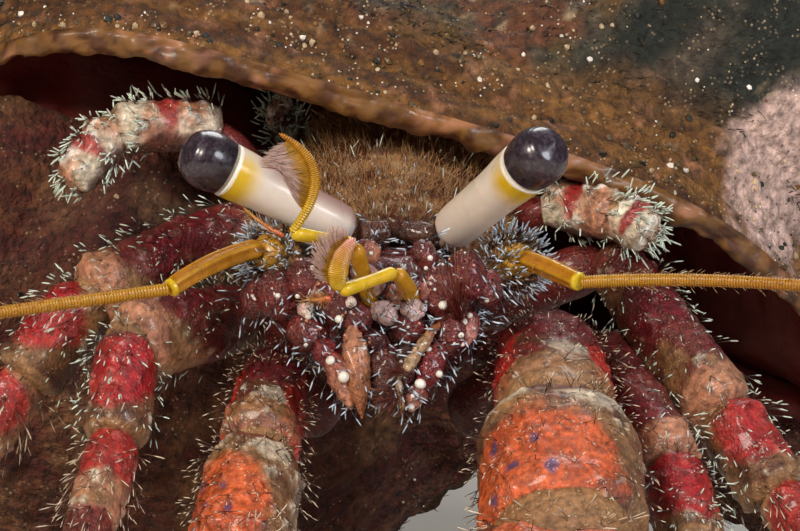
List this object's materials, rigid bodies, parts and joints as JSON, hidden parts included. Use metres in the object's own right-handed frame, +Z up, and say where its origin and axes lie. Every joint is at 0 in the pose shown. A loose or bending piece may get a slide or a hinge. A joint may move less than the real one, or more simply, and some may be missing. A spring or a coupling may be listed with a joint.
{
  "type": "hermit crab in a sea snail shell",
  "caption": "Still life-size model of a hairy red hermit crab looking out of a crusted sea snail shell, claws and legs spread on the floor.",
  "frame": {"origin": "middle of the model's footprint, on the floor it stands on", "axes": "+Z up; the crab looks along -Y, its left side is at +X, and the shell's apex points to -X"},
  "size_m": [0.0761, 0.07, 0.0384],
  "materials": {
    "shell_crust": "rough limy crust with sediment",
    "shell_lip": "worn horny lip",
    "shell_inside": "smooth dull glaze",
    "shield": "satin hard skin with fine hairs",
    "maroon_skin": "satin hard skin with white warts",
    "soft_skin": "soft dull skin",
    "tan_skin": "satin hard skin",
    "eyestalk": "smooth satin",
    "cornea": "wet gloss",
    "antennule": "translucent satin",
    "antenna": "ringed satin",
    "leg_red": "satin hard skin with patches",
    "claw_orange": "grainy hard skin with patches",
    "bristle": "stiff bristle, dark root and pale tip",
    "mouth_bristle": "fine feathery bristle"
  },
  "bodies": {
    "root": {"shell": "shell_crust", "shield": "shield", "cephalothorax": "maroon_skin", "face": "maroon_skin", "eye_root_left": "maroon_skin", "eye_root_right": "maroon_skin", "maxilliped_left_arm": "maroon_skin", "maxilliped_left_blade": "maroon_skin", "maxilliped_right_arm": "maroon_skin", "maxilliped_right_blade": "maroon_skin", "abdomen": "soft_skin", "tail_fan": "tan_skin", "leg_4_left": "tan_skin", "leg_4_right": "tan_skin", "leg_5_left": "tan_skin", "leg_5_right": "tan_skin", "eyestalk_left": "eyestalk", "eyestalk_right": "eyestalk", "cornea_left": "cornea", "cornea_right": "cornea", "antennule_left_base": "antennule", "antennule_left_last": "antennule", "antennule_left_fan": "antennule", "antennule_left_thread": "antennule", "antenna_left_base": "antenna", "antenna_left_stem": "antenna", "antenna_left_whip": "antenna", "leg_2_left_merus": "leg_red", "leg_2_left_carpus": "leg_red", "leg_2_left_propodus": "leg_red", "leg_2_left_dactyl": "leg_red", "leg_3_left_merus": "leg_red", "leg_3_left_carpus": "leg_red", "leg_3_left_propodus": "leg_red", "leg_3_left_dactyl": "leg_red", "cheliped_left_merus": "claw_orange", "cheliped_left_carpus": "claw_orange", "cheliped_left_palm": "claw_orange", "cheliped_left_fixed_finger": "claw_orange", "cheliped_left_moving_finger": "claw_orange", "antennule_right_base": "antennule", "antennule_right_last": "antennule", "antennule_right_fan": "antennule", "antennule_right_thread": "antennule", "antenna_right_base": "antenna", "antenna_right_stem": "antenna", "antenna_right_whip": "antenna", "leg_2_right_merus": "leg_red", "leg_2_right_carpus": "leg_red", "leg_2_right_propodus": "leg_red", "leg_2_right_dactyl": "leg_red", "leg_3_right_merus": "leg_red", "leg_3_right_carpus": "leg_red", "leg_3_right_propodus": "leg_red", "leg_3_right_dactyl": "leg_red", "cheliped_right_merus": "claw_orange", "cheliped_right_carpus": "claw_orange", "cheliped_right_palm": "claw_orange", "cheliped_right_fixed_finger": "claw_orange", "cheliped_right_moving_finger": "claw_orange"}
  },
  "joints": []
}
